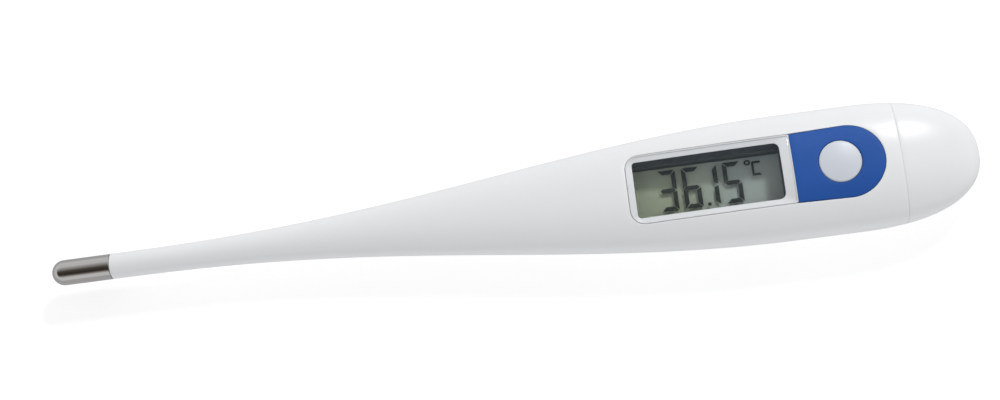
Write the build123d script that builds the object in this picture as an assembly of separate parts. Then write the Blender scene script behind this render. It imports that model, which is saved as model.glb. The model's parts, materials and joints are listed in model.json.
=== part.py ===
from build123d import *
import os
from math import cos, pi, radians, sin

# Digital stick thermometer, in millimetres.
# Frame: X runs along the body from the metal tip (-X) to the battery cover (+X), Y across it,
# Z up through the display. The origin is at the middle of the length, on the resting face.
# A "station" is a distance from the very tip, and a "level" is a height above the mid-plane.

# ---- Overall size ----
LENGTH = 130.0
WIDTH = 17.6
THICKNESS = 10.0
TIP_RADIUS = 1.8

# ---- Outer shape of the body ----
SWELL_START = 6.2          # station where the stem starts to widen
SWELL_END = 104.4          # station where the body reaches its full width
SWELL_POWER = 1.36         # how late the widening sets in
TAIL_START = 112.5         # station where the rounded tail begins
TAIL_POWER = 2.4           # squareness of the tail seen from above
BODY_POWER = 2.3           # squareness of the body's cross-section, 2 in the round stem
BELLY_FACTOR = 1.08        # how much deeper the underside is than the top, before it is cut flat

# ---- Walls and clearances ----
WALL = 1.2
STEM_BORE_RADIUS = 0.85
GLUE_GAP = 0.03
FIT_GAP = 0.05
SLIDE_GAP = 0.08

# ---- Metal tip ----
TIP_LENGTH = 8.7
TIP_WALL = 0.2
SPIGOT_START = 4.7
SPIGOT_ROOT = 0.5          # how far the spigot runs into the stem
STEM_BORE_LENGTH = 12.0
CAVITY_START = 11.7        # station where the round bore opens into the hollow body
FILL_START = 0.6
BEAD_STATION = 1.75
BEAD_RADIUS = 0.5
LEAD_RADIUS = 0.15
LEAD_BEND = 6.0
LEAD_WAYPOINTS = (         # station, distance from the middle line, level
    (2.15, 0.27, 0.0),
    (40.0, 0.30, -0.05),
    (66.0, 0.70, -0.50),
    (75.5, 1.40, -1.55),
    (80.5, 1.60, -1.83),
)

# ---- Lens, display window and button trim ----
LENS_DEPTH = 0.58          # lens thickness, measured square to the skin
BORDER_DEPTH = 0.10        # thickness of the white border behind the lens
POCKET_DEPTH = 0.70        # depth of the recess that takes lens, border and trim
POCKET_START = 82.1
POCKET_HALF_WIDTH = 4.87
POCKET_CORNER = 2.0
LENS_START = 82.3
LENS_END = 104.57
LENS_HALF_WIDTH = 4.67
LENS_CORNER = 1.8
WINDOW_START = 83.1
WINDOW_END = 103.15
WINDOW_HALF_WIDTH = 3.95
WINDOW_CORNER = 0.5
SHROUD_WALL = 0.4
TRIM_START = 104.62
TRIM_END = 116.9
TRIM_HALF_WIDTH = 5.0      # at the half-round end
TRIM_LEFT_HALF_WIDTH = 4.75

# ---- Button ----
BUTTON_STATION = 110.9
BUTTON_RADIUS = 2.88
BUTTON_TOP = 5.3
BUTTON_EDGE_TOP = 4.95
BUTTON_TRAVEL = 0.4
PLUNGER_GAP = 0.02
FLANGE_RADIUS = 3.5
FLANGE_TOP = 3.45
FLANGE_THICKNESS = 0.45
PLUNGER_RADIUS = 1.1
DOME_RADIUS = 2.4
DOME_HEIGHT = BUTTON_TRAVEL + 0.15
DOME_SHEET = 0.08

# ---- Display stack, from the front polarizer down ----
DISPLAY_TOP = 1.2
POLARIZER = 0.18
GLASS = 0.55
CELL = 0.04
DISPLAY_START = 82.2
DISPLAY_END = 104.0
FRONT_GLASS_HALF_WIDTH = 5.15
BACK_GLASS_HALF_WIDTH = 3.8
POLARIZER_HALF_WIDTH = 4.8
REFLECTOR_HALF_WIDTH = 3.6
FILM_MARGIN = 0.2          # of both films from the ends of the glass
ZEBRA_WIDTH = 1.0
ZEBRA_CENTRE = 4.38
ZEBRA_MARGIN = 0.6

# ---- Digits of the display, upright seven-segment figures ----
DIGIT_HEIGHT = 5.8
DIGIT_WIDTH = 2.45
STROKE = 0.5
SEGMENT_GAP = 0.06
SEGMENT_CLEARANCE = 0.005  # between a segment and either glass
DIGIT_STATIONS = {"3": 86.5, "6": 89.8, "1": 92.2, "5": 95.45}
POINT_STATION = 93.1
UNIT_C_START = 99.45
UNIT_C_WIDTH = 1.3
UNIT_C_LOW = 0.8
UNIT_C_HEIGHT = 1.7
UNIT_STROKE = 0.3
DEGREE_STATION = 98.88
DEGREE_Y = 2.55
DEGREE_RADIUS = 0.42
DEGREE_STROKE = 0.2

# ---- Circuit board and what it carries ----
BOARD_TOP = -2.0
BOARD_THICKNESS = 0.8
BOARD_START = 78.5
BOARD_END = 114.6
BOARD_HALF_WIDTH = 4.9
BOARD_NOSE_HALF_WIDTH = 2.6
BOARD_SHOULDER = 88.0
BLOB_STATION = 89.5
BLOB_RADIUS = 2.4
BLOB_HEIGHT = 0.65
RESISTOR_STATIONS = (94.5, 96.7, 98.9)
RESISTOR_SIZE = (1.6, 0.8, 0.45)
CAPACITOR_STATIONS = (95.0, 98.0)
CAPACITOR_SIZE = (2.0, 1.25, 0.5)
CHIP_OFFSET = 1.6          # of both rows from the middle line

# ---- Sounder ----
BUZZER_STATION = 108.0
BUZZER_RADIUS = 4.3
BUZZER_SEAT = -3.45
BUZZER_PLATE = 0.15
CERAMIC_RADIUS = 3.0
CERAMIC = 0.12
SEAT_RING_WALL = 0.7
BUZZER_LEAD_RADIUS = 0.2
PLATE_LEAD_STATION = 104.4
CERAMIC_LEAD_STATION = 109.5

# ---- Button cell, size LR41 ----
CELL_STATION = 122.25
CELL_RADIUS = 3.95
CELL_HEIGHT = 3.6
CAN_SHEET = 0.25
CAN_EDGE = 0.3
ANODE_RADIUS = 3.1
ANODE_STEP = 0.3
ANODE_EDGE = 0.2
GASKET_SHEET = 0.15

# ---- Carrier and battery contacts ----
TRAY_START = 96.0
TRAY_END = 127.4
TRAY_INSET = 2.45
ARM_INSET = 1.3
ARM_OUTER = 6.2
ARM_INNER = 5.0
ARM_TOP = -0.9
ARM_LIP = 0.25             # thickness of the lip under the edge of the board
ARM_LIP_WIDTH = 0.5
ARM_END = 114.95
CONTACT_SHEET = 0.15
CONTACT_WIDTH = 1.6
CONTACT_OFFSET = 2.3       # of each strip from the middle line
CONTACT_LAP = 1.0          # length of each strip that lies on the board
CONTACT_REACH = 1.5        # of each strip past the middle of the cell
CONTACT_LEG_START = 114.0
SLOT_GAP = 0.1

# ---- Battery cover ----
SEAM_STATION = 119.1
COLLAR_LENGTH = 4.0
COLLAR_WALL = 0.8
COLLAR_ROOT = 1.5          # thickened ring inside the cover that the collar grows from
SOCKET_MARGIN = 0.1        # how much longer the housing's straight socket is than the collar
SEAL_STATION = 116.9
SEAL_WIDTH = 0.7
SEAL_DEPTH = 0.45

# ---- Values that follow from those above ----
MID = THICKNESS / 2
ABOVE = MID + 1.0          # a level above the whole part
FAR = 40.0                 # larger than any cross-section, for cutting tools
GLASS_TOP = DISPLAY_TOP - POLARIZER
CELL_TOP = GLASS_TOP - GLASS
CELL_FLOOR = CELL_TOP - CELL
REFLECTOR_TOP = CELL_FLOOR - GLASS
BOARD_UNDERSIDE = BOARD_TOP - BOARD_THICKNESS
PLATE_TOP = BUZZER_SEAT + BUZZER_PLATE
COLLAR_START = SEAM_STATION - COLLAR_LENGTH
SOCKET_START = COLLAR_START - SOCKET_MARGIN

# ---- How finely the outer shape is sampled ----
SECTION_POINTS = 24
BODY_SECTIONS = 13
TAIL_STEP = 9              # degrees, closing up towards the end of the tail
TAIL_LAST = 85
SECTION_SPACING = 0.3      # least distance of the second section from the first


def at(station):
    """X of a station."""
    return station - LENGTH / 2


def swell(station):
    """0 in the slim stem, 1 in the full body."""
    t = (station - SWELL_START) / (SWELL_END - SWELL_START)
    t = min(max(t, 0.0), 1.0)
    return (0.5 - 0.5 * cos(pi * t)) ** SWELL_POWER


def tail(station, inset):
    """1 along the body, falling to 0 at the end of the tail."""
    reach = LENGTH - TAIL_START - inset
    t = min(max((station - TAIL_START) / reach, 0.0), 1.0)
    return (1.0 - t**TAIL_POWER) ** (1.0 / TAIL_POWER)


def half_sizes(station, inset):
    """Half-width, height above and depth below the mid-plane, at a distance inside the skin."""
    stem = max(TIP_RADIUS - inset, STEM_BORE_RADIUS)
    grow = swell(station)
    close = tail(station, inset)
    width = stem + (WIDTH / 2 - inset - stem) * grow
    top = stem + (THICKNESS / 2 - inset - stem) * grow
    belly = stem + (THICKNESS / 2 * BELLY_FACTOR - inset - stem) * grow
    return width * close, top * close, belly * close


def signed_power(value, power):
    return abs(value) ** power if value >= 0 else -(abs(value) ** power)


def section(station, inset):
    """Cross-section face: a superellipse that goes from round in the stem to squarer in the body."""
    width, top, belly = half_sizes(station, inset)
    power = 2.0 / (2.0 + (BODY_POWER - 2.0) * swell(station))
    points = []
    for step in range(SECTION_POINTS):
        angle = 2 * pi * step / SECTION_POINTS
        y = width * signed_power(cos(angle), power)
        z = signed_power(sin(angle), power) * (top if sin(angle) > 0 else belly)
        points.append((at(station), y, MID + z))
    edge = Edge.make_spline([Vector(*p) for p in points], periodic=True)
    return Face(Wire([edge]))


def skin_stations(start, end, inset):
    """Stations of the cross-sections: evenly spaced along the body, closing up round the tail."""
    reach = LENGTH - TAIL_START - inset
    step = (TAIL_START - TIP_LENGTH) / BODY_SECTIONS
    body = [TIP_LENGTH + step * i for i in range(BODY_SECTIONS)]
    tail_part = [TAIL_START + reach * sin(radians(a)) for a in range(0, TAIL_LAST, TAIL_STEP)]
    between = [s for s in body + tail_part if start + SECTION_SPACING < s < end - GLUE_GAP]
    return [start] + between + [end]


def over_floor(inset):
    """Everything above the flat of the underside, or above a flat at a distance inside it."""
    low = (Align.CENTER, Align.CENTER, Align.MIN)
    return Pos(0, 0, inset) * Box(2 * LENGTH, FAR, FAR, align=low)


def skin_body(start, end, inset=0.0):
    """Solid bounded by the skin, or by a surface at a distance inside it, between two stations."""
    closed = end >= LENGTH - inset
    stations = skin_stations(start, end, inset)
    sections = [section(s, inset) for s in (stations[:-1] if closed else stations)]
    if closed:
        sections.append(Vertex(at(end), 0, MID))
    return loft(sections) & over_floor(inset)


def straight_body(start, end, inset):
    """Solid between two stations that keeps the cross-section of the seam, so that it can slide."""
    solid = extrude(section(SEAM_STATION, inset), end - start, dir=(1, 0, 0))
    return Pos(start - SEAM_STATION, 0, 0) * solid & over_floor(inset)


def block(start, end, half_width, low, high, y=0.0):
    """Box between two stations and two levels."""
    middle = at((start + end) / 2)
    centre = MID + (low + high) / 2
    return Pos(middle, y, centre) * Box(end - start, 2 * half_width, high - low)


def disc(station, y, radius, low, high):
    """Upright round disc between two levels."""
    return Pos(at(station), y, MID + (low + high) / 2) * Cylinder(radius, high - low)


def prism(outline, low, high):
    """Upright prism from a sketch drawn in X and Y."""
    return extrude(Pos(0, 0, MID + low) * outline, high - low)


def window_outline(start, end, half_width, corner):
    """Rectangle whose corners are rounded."""
    middle = at((start + end) / 2)
    return Pos(middle, 0) * RectangleRounded(end - start, 2 * half_width, corner)


def panel_outline(start, end, half_width, left_corner):
    """Outline with a rounded left end and a square right end."""
    outline = Pos(at((start + end) / 2), 0) * Rectangle(end - start, 2 * half_width)
    left = outline.vertices().group_by(Axis.X)[0]
    return fillet(left, left_corner)


def trim_outline(gap=0.0):
    """D-shape that widens a little from its straight left edge to its half-round right end."""
    radius = TRIM_HALF_WIDTH + gap
    left_half = TRIM_LEFT_HALF_WIDTH + gap
    centre = TRIM_END - TRIM_HALF_WIDTH
    left_part = Polyline(
        (at(TRIM_START), -left_half),
        (at(centre), -radius),
        (at(centre), radius),
        (at(TRIM_START), left_half),
        close=True,
    )
    return make_face(left_part) + Pos(at(centre), 0) * Circle(radius)


def pocket_outline():
    """Recess that takes the lens and the button trim."""
    lens_end = TRIM_START + GLUE_GAP
    lens_part = panel_outline(POCKET_START, lens_end, POCKET_HALF_WIDTH, POCKET_CORNER)
    return lens_part + trim_outline(GLUE_GAP)


def save(node, shape):
    shape.label = node
    export_step(shape, "parts/" + node + ".step")


# ---- Skins that the visible pieces share ----

OUTER = skin_body(TIP_LENGTH, LENGTH)
NEAR_PANEL = (74.0, 118.5)
LENS_UNDERSIDE = skin_body(*NEAR_PANEL, inset=LENS_DEPTH)
BORDER_UNDERSIDE = skin_body(*NEAR_PANEL, inset=LENS_DEPTH + BORDER_DEPTH)
POCKET_FLOOR = skin_body(*NEAR_PANEL, inset=POCKET_DEPTH)


def buzzer_seat():
    """Ring on the inner floor that the sounder plate sits on."""
    ring = disc(BUZZER_STATION, 0, BUZZER_RADIUS, -MID, BUZZER_SEAT - GLUE_GAP)
    ring -= disc(BUZZER_STATION, 0, BUZZER_RADIUS - SEAT_RING_WALL, -MID, 0)
    return ring & skin_body(DISPLAY_START, SEAM_STATION, inset=WALL / 2)


def make_housing():
    body = OUTER & block(0, SEAM_STATION, FAR / 2, -MID, MID)
    spigot_radius = TIP_RADIUS - TIP_WALL - GLUE_GAP
    spigot_length = TIP_LENGTH - SPIGOT_START + SPIGOT_ROOT
    spigot = Cylinder(spigot_radius, spigot_length, align=(Align.CENTER, Align.CENTER, Align.MIN))
    body += Pos(at(SPIGOT_START), 0, MID) * Rot(0, 90, 0) * spigot
    bore = Cylinder(STEM_BORE_RADIUS, STEM_BORE_LENGTH)
    body -= Pos(at(TIP_LENGTH), 0, MID) * Rot(0, 90, 0) * bore
    body -= skin_body(CAVITY_START, SOCKET_START, inset=WALL)
    body -= straight_body(SOCKET_START, SEAM_STATION + 1, inset=WALL)
    body -= prism(pocket_outline(), 0, ABOVE) - POCKET_FLOOR
    opening = window_outline(
        WINDOW_START - SHROUD_WALL - GLUE_GAP,
        WINDOW_END + SHROUD_WALL + GLUE_GAP,
        WINDOW_HALF_WIDTH + SHROUD_WALL + GLUE_GAP,
        WINDOW_CORNER + SHROUD_WALL,
    )
    body -= prism(opening, 0, ABOVE)
    body -= disc(BUTTON_STATION, 0, BUTTON_RADIUS + FIT_GAP, 0, ABOVE)
    return body + buzzer_seat()


def make_battery_cover():
    shell = OUTER & block(SEAM_STATION, LENGTH + 1, FAR / 2, -MID, MID)
    shell -= skin_body(TAIL_START - 6, LENGTH - WALL, inset=WALL)
    collar = straight_body(COLLAR_START, SEAM_STATION, inset=WALL + SLIDE_GAP)
    collar += skin_body(SEAM_STATION, SEAM_STATION + COLLAR_ROOT, inset=WALL / 2)
    collar -= straight_body(COLLAR_START - 1, SEAM_STATION + 3, inset=WALL + COLLAR_WALL)
    groove = straight_body(SEAL_STATION - SEAL_WIDTH / 2, SEAL_STATION + SEAL_WIDTH / 2, inset=0)
    groove -= straight_body(SEAL_STATION - 2, SEAL_STATION + 2, inset=WALL + SEAL_DEPTH)
    return shell + (collar - groove)


def make_cover_seal():
    half = SEAL_WIDTH / 2 - GLUE_GAP
    ring = straight_body(SEAL_STATION - half, SEAL_STATION + half, inset=WALL + FIT_GAP)
    inner = WALL + SEAL_DEPTH - GLUE_GAP
    return ring - straight_body(SEAL_STATION - 2, SEAL_STATION + 2, inset=inner)


def bullet(start, end, radius):
    """Round-nosed rod along X."""
    nose = Pos(at(start + radius), 0, MID) * Sphere(radius)
    rod = Cylinder(radius, end - start - radius, align=(Align.CENTER, Align.CENTER, Align.MIN))
    return nose + Pos(at(start + radius), 0, MID) * Rot(0, 90, 0) * rod


def make_probe_tip():
    return bullet(0, TIP_LENGTH, TIP_RADIUS) - bullet(TIP_WALL, TIP_LENGTH + 1, TIP_RADIUS - TIP_WALL)


def sensor_bead():
    return Pos(at(BEAD_STATION), 0, MID) * Sphere(BEAD_RADIUS)


def make_lead(side):
    """Wire from the bead through the stem to its solder pad on the nose of the board."""
    route = [Vector(at(s), side * y, MID + level) for s, y, level in LEAD_WAYPOINTS]
    path = FilletPolyline(*route, radius=LEAD_BEND)
    start = Plane(origin=path @ 0, z_dir=path % 0)
    return sweep(start * Circle(LEAD_RADIUS), path=path)


def make_tip_adhesive(leads):
    fill = bullet(FILL_START, SPIGOT_START - GLUE_GAP, TIP_RADIUS - TIP_WALL - GLUE_GAP)
    fill -= sensor_bead()
    for lead in leads:
        fill -= lead
    return fill


def make_window_lens():
    outline = panel_outline(LENS_START, LENS_END, LENS_HALF_WIDTH, LENS_CORNER)
    return (prism(outline, 0, ABOVE) & OUTER) - LENS_UNDERSIDE


def make_lens_border():
    outline = panel_outline(LENS_START, LENS_END, LENS_HALF_WIDTH, LENS_CORNER)
    outline -= window_outline(WINDOW_START, WINDOW_END, WINDOW_HALF_WIDTH, WINDOW_CORNER)
    return (prism(outline, 0, ABOVE) & LENS_UNDERSIDE) - BORDER_UNDERSIDE


def make_display_shroud():
    outline = window_outline(
        WINDOW_START - SHROUD_WALL,
        WINDOW_END + SHROUD_WALL,
        WINDOW_HALF_WIDTH + SHROUD_WALL,
        WINDOW_CORNER + SHROUD_WALL,
    )
    outline -= window_outline(WINDOW_START, WINDOW_END, WINDOW_HALF_WIDTH, WINDOW_CORNER)
    return prism(outline, DISPLAY_TOP, MID) & POCKET_FLOOR


def make_button_trim():
    outline = trim_outline()
    outline -= Pos(at(BUTTON_STATION), 0) * Circle(BUTTON_RADIUS + FIT_GAP)
    return (prism(outline, 0, ABOVE) & OUTER) - BORDER_UNDERSIDE


def make_button_cap():
    """Domed cap, a flange that keeps it in the housing, and a plunger down to the snap dome."""
    rise = BUTTON_TOP - BUTTON_EDGE_TOP
    crown_radius = (BUTTON_RADIUS**2 + rise**2) / (2 * rise)
    cap = disc(BUTTON_STATION, 0, BUTTON_RADIUS, FLANGE_TOP - FLANGE_THICKNESS, BUTTON_TOP)
    cap &= Pos(at(BUTTON_STATION), 0, MID + BUTTON_TOP - crown_radius) * Sphere(crown_radius)
    flange = disc(BUTTON_STATION, 0, FLANGE_RADIUS, FLANGE_TOP - FLANGE_THICKNESS, FLANGE_TOP)
    plunger_low = BOARD_TOP + DOME_HEIGHT + PLUNGER_GAP
    plunger = disc(BUTTON_STATION, 0, PLUNGER_RADIUS, plunger_low, FLANGE_TOP)
    return cap + flange + plunger


def spherical_cap(station, radius, height, base, side=1):
    """Shallow cap that stands on a level, or hangs from it when side is -1."""
    ball_radius = (radius**2 + height**2) / (2 * height)
    centre = MID + base + side * (height - ball_radius)
    ball = Pos(at(station), 0, centre) * Sphere(ball_radius)
    low, high = sorted((base, base + side * (height + 1)))
    return ball & disc(station, 0, radius, low, high)


def make_switch_dome():
    outer = spherical_cap(BUTTON_STATION, DOME_RADIUS, DOME_HEIGHT, BOARD_TOP)
    return outer - spherical_cap(
        BUTTON_STATION, DOME_RADIUS - 2 * DOME_SHEET, DOME_HEIGHT - DOME_SHEET, BOARD_TOP
    )


# ---- Display ----

def bar(x0, x1, y0, y1):
    """Rectangle between two stations and two Y values."""
    return Pos(at((x0 + x1) / 2), (y0 + y1) / 2) * Rectangle(x1 - x0, y1 - y0)


def segments_of(figure):
    """Which of the seven segments a figure lights."""
    return {"3": "abcdg", "6": "acdefg", "1": "bc", "5": "acdfg"}[figure]


def figure_sketch(figure, left):
    """Seven-segment figure whose left edge is at a station, as separate bars."""
    right = left + DIGIT_WIDTH
    low = -DIGIT_HEIGHT / 2
    high = DIGIT_HEIGHT / 2
    gap = SEGMENT_GAP
    inner = STROKE + gap
    bars = {
        "a": bar(left + gap, right - gap, high - STROKE, high),
        "b": bar(right - STROKE, right, STROKE / 2 + gap, high - inner),
        "c": bar(right - STROKE, right, low + inner, -STROKE / 2 - gap),
        "d": bar(left + gap, right - gap, low, low + STROKE),
        "e": bar(left, left + STROKE, low + inner, -STROKE / 2 - gap),
        "f": bar(left, left + STROKE, STROKE / 2 + gap, high - inner),
        "g": bar(left + gap, right - gap, -STROKE / 2, STROKE / 2),
    }
    return [bars[name] for name in segments_of(figure)]


def unit_sketch():
    """Small raised C and its degree ring."""
    right = UNIT_C_START + UNIT_C_WIDTH
    high = UNIT_C_LOW + UNIT_C_HEIGHT
    letter = bar(UNIT_C_START, right, UNIT_C_LOW, high)
    letter -= bar(
        UNIT_C_START + UNIT_STROKE, right + 1, UNIT_C_LOW + UNIT_STROKE, high - UNIT_STROKE
    )
    ring = Pos(at(DEGREE_STATION), DEGREE_Y) * Circle(DEGREE_RADIUS)
    ring -= Pos(at(DEGREE_STATION), DEGREE_Y) * Circle(DEGREE_RADIUS - DEGREE_STROKE)
    return [letter, ring]


def make_lcd_segments():
    low = -DIGIT_HEIGHT / 2
    sketches = [bar(POINT_STATION - STROKE / 2, POINT_STATION + STROKE / 2, low, low + STROKE)]
    for figure, left in DIGIT_STATIONS.items():
        sketches += figure_sketch(figure, left)
    sketches += unit_sketch()
    bottom = CELL_FLOOR + SEGMENT_CLEARANCE
    top = CELL_TOP - SEGMENT_CLEARANCE
    return Compound(children=[prism(sketch, bottom, top) for sketch in sketches])


def make_zebra(side):
    start = DISPLAY_START + ZEBRA_MARGIN
    end = DISPLAY_END - ZEBRA_MARGIN
    return block(start, end, ZEBRA_WIDTH / 2, BOARD_TOP, CELL_TOP, y=side * ZEBRA_CENTRE)


# ---- Board and inner parts ----


def make_circuit_board():
    outline = Polyline(
        (at(BOARD_START), -BOARD_NOSE_HALF_WIDTH),
        (at(BOARD_SHOULDER), -BOARD_HALF_WIDTH),
        (at(BOARD_END), -BOARD_HALF_WIDTH),
        (at(BOARD_END), BOARD_HALF_WIDTH),
        (at(BOARD_SHOULDER), BOARD_HALF_WIDTH),
        (at(BOARD_START), BOARD_NOSE_HALF_WIDTH),
        close=True,
    )
    return prism(make_face(outline), BOARD_UNDERSIDE, BOARD_TOP)


def make_chip_row(stations, size, y):
    """Row of small parts soldered to the underside of the board."""
    length, width, height = size
    low = BOARD_UNDERSIDE - height
    chips = []
    for s in stations:
        chips.append(block(s - length / 2, s + length / 2, width / 2, low, BOARD_UNDERSIDE, y=y))
    return Compound(children=chips)


def make_buzzer_leads():
    """Two short wires from the board down to the plate and to the ceramic."""
    radius = BUZZER_LEAD_RADIUS
    to_plate = disc(PLATE_LEAD_STATION, 0, radius, PLATE_TOP, BOARD_UNDERSIDE)
    to_ceramic = disc(CERAMIC_LEAD_STATION, 0, radius, PLATE_TOP + CERAMIC, BOARD_UNDERSIDE)
    return Compound(children=[to_plate, to_ceramic])


def strip(start, end, low, high, side):
    """Flat stretch of a battery contact, on one side of the middle line."""
    return block(start, end, CONTACT_WIDTH / 2, low, high, y=side * CONTACT_OFFSET)


def negative_strip():
    """Flat strip from the board to under the cell."""
    end = CELL_STATION + CONTACT_REACH
    return strip(BOARD_END - CONTACT_LAP, end, BOARD_TOP, BOARD_TOP + CONTACT_SHEET, -1)


def positive_strip():
    """Strip over the cell, with a leg down to the board and a foot on it."""
    low = CELL_HEIGHT / 2 + FIT_GAP
    high = low + CONTACT_SHEET
    leg_end = CONTACT_LEG_START + CONTACT_SHEET
    foot_start = CONTACT_LEG_START - CONTACT_LAP
    finger = strip(CONTACT_LEG_START, CELL_STATION + CONTACT_REACH, low, high, 1)
    leg = strip(CONTACT_LEG_START, leg_end, BOARD_TOP, high, 1)
    foot = strip(foot_start, leg_end, BOARD_TOP, BOARD_TOP + CONTACT_SHEET, 1)
    return finger + leg + foot


def tray_arms():
    """Two arms with a groove that holds the edges of the board."""
    clear_end = BOARD_END + FIT_GAP
    arms = block(TRAY_START, ARM_END, ARM_OUTER, BOARD_UNDERSIDE - ARM_LIP, ARM_TOP)
    arms -= block(TRAY_START - 1, clear_end, ARM_INNER - ARM_LIP_WIDTH, -MID, MID)
    arms -= block(TRAY_START - 1, clear_end, ARM_INNER, BOARD_UNDERSIDE, MID)
    return arms & skin_body(TRAY_START - 2, SEAM_STATION, inset=ARM_INSET)


def make_carrier_tray():
    """Arms for the board and a rear cup, open to the tail, that holds the cell."""
    cup = skin_body(BOARD_END + FIT_GAP, TRAY_END, inset=TRAY_INSET)
    cup &= block(BOARD_END, LENGTH, FAR / 2, -MID, CELL_HEIGHT / 2)
    pocket_radius = CELL_RADIUS + SLIDE_GAP
    cup -= disc(CELL_STATION, 0, pocket_radius, BOARD_TOP, MID)
    cup -= block(CELL_STATION, LENGTH + 1, pocket_radius, BOARD_TOP, MID)
    slot = block(
        BOARD_END - CONTACT_LAP,
        CELL_STATION,
        CONTACT_WIDTH / 2 + SLOT_GAP,
        BOARD_TOP,
        BOARD_TOP + 2 * CONTACT_SHEET,
        y=-CONTACT_OFFSET,
    )
    return tray_arms() + cup - slot


def cell_disc(radius, low, high):
    return disc(CELL_STATION, 0, radius, low, high)


def make_battery_can():
    """Steel can, open at the bottom, where the anode cap comes out."""
    half = CELL_HEIGHT / 2
    can = cell_disc(CELL_RADIUS, -half + ANODE_STEP, half)
    can = fillet(can.edges().group_by(Axis.Z)[-1], CAN_EDGE)
    return can - cell_disc(CELL_RADIUS - CAN_SHEET, -half, half - CAN_SHEET)


def make_battery_anode():
    half = CELL_HEIGHT / 2
    anode = cell_disc(ANODE_RADIUS, -half, half - CAN_SHEET - GASKET_SHEET)
    return fillet(anode.edges().group_by(Axis.Z)[0], ANODE_EDGE)


def make_battery_gasket():
    half = CELL_HEIGHT / 2
    ring = cell_disc(CELL_RADIUS - CAN_SHEET, -half + ANODE_STEP, half - CAN_SHEET)
    return ring - cell_disc(ANODE_RADIUS, -half - 1, half - CAN_SHEET - GASKET_SHEET)


def display_layer(half_width, low, thickness, margin=0.0):
    """One flat layer of the display stack."""
    start = DISPLAY_START + margin
    end = DISPLAY_END - margin
    return block(start, end, half_width, low, low + thickness)


def main():
    os.makedirs("parts", exist_ok=True)
    leads = {"a": make_lead(-1), "b": make_lead(1)}
    film_low = REFLECTOR_TOP - POLARIZER
    nodes = {
        "housing": make_housing(),
        "battery_cover": make_battery_cover(),
        "cover_seal": make_cover_seal(),
        "probe_tip": make_probe_tip(),
        "tip_adhesive": make_tip_adhesive(leads.values()),
        "thermistor_bead": sensor_bead() - leads["a"] - leads["b"],
        "sensor_lead_a": leads["a"],
        "sensor_lead_b": leads["b"],
        "window_lens": make_window_lens(),
        "lens_border": make_lens_border(),
        "display_shroud": make_display_shroud(),
        "button_trim": make_button_trim(),
        "button_cap": make_button_cap(),
        "switch_dome": make_switch_dome(),
        "lcd_front_polarizer": display_layer(POLARIZER_HALF_WIDTH, GLASS_TOP, POLARIZER, FILM_MARGIN),
        "lcd_front_glass": display_layer(FRONT_GLASS_HALF_WIDTH, CELL_TOP, GLASS),
        "lcd_segments": make_lcd_segments(),
        "lcd_back_glass": display_layer(BACK_GLASS_HALF_WIDTH, REFLECTOR_TOP, GLASS),
        "lcd_reflector": display_layer(REFLECTOR_HALF_WIDTH, film_low, POLARIZER, FILM_MARGIN),
        "zebra_strip_left": make_zebra(-1),
        "zebra_strip_right": make_zebra(1),
        "circuit_board": make_circuit_board(),
        "chip_blob": spherical_cap(BLOB_STATION, BLOB_RADIUS, BLOB_HEIGHT, BOARD_UNDERSIDE, side=-1),
        "chip_resistors": make_chip_row(RESISTOR_STATIONS, RESISTOR_SIZE, CHIP_OFFSET),
        "chip_capacitors": make_chip_row(CAPACITOR_STATIONS, CAPACITOR_SIZE, -CHIP_OFFSET),
        "carrier_tray": make_carrier_tray(),
        "contact_positive": positive_strip(),
        "contact_negative": negative_strip(),
        "battery_can": make_battery_can(),
        "battery_gasket": make_battery_gasket(),
        "battery_anode": make_battery_anode(),
        "buzzer_plate": disc(BUZZER_STATION, 0, BUZZER_RADIUS, BUZZER_SEAT, PLATE_TOP),
        "buzzer_ceramic": disc(BUZZER_STATION, 0, CERAMIC_RADIUS, PLATE_TOP, PLATE_TOP + CERAMIC),
        "buzzer_leads": make_buzzer_leads(),
    }
    for node, shape in nodes.items():
        save(node, shape)


main()
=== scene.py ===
import json
from math import cos, hypot, pi, radians, sin, sqrt

import bmesh
import bpy
from mathutils import Matrix, Vector


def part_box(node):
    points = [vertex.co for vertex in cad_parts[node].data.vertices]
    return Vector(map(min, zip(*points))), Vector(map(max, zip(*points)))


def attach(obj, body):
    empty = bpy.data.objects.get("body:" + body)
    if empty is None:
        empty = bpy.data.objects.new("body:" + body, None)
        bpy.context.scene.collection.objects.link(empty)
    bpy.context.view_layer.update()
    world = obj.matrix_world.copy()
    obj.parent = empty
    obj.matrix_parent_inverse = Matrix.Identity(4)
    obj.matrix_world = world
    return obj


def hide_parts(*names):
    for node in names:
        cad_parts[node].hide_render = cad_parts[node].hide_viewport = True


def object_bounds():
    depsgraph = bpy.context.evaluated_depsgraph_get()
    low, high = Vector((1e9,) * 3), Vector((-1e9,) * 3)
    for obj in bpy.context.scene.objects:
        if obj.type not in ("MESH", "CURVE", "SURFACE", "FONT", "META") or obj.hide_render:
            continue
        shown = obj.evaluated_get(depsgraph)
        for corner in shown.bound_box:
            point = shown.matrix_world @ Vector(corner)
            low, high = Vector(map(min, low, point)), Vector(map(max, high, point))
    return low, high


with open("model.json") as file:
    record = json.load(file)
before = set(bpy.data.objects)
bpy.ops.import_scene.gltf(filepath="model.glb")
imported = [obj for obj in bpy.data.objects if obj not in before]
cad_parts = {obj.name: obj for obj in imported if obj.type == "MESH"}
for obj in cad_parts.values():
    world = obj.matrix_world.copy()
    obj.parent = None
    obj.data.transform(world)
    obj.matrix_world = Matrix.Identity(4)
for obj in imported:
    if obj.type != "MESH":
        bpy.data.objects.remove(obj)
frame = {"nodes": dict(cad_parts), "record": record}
CAD_LOW, CAD_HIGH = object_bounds()

# Shapes are worked out in millimetres in the CAD's frame and scaled to metres when a mesh is made.
# A "station" is a distance from the very tip, and a "depth" is measured down from the skin.
MM = 0.001


def span(node):
    """Lowest and highest corner of a CAD node, in millimetres."""
    low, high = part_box(node)
    return low / MM, high / MM


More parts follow.
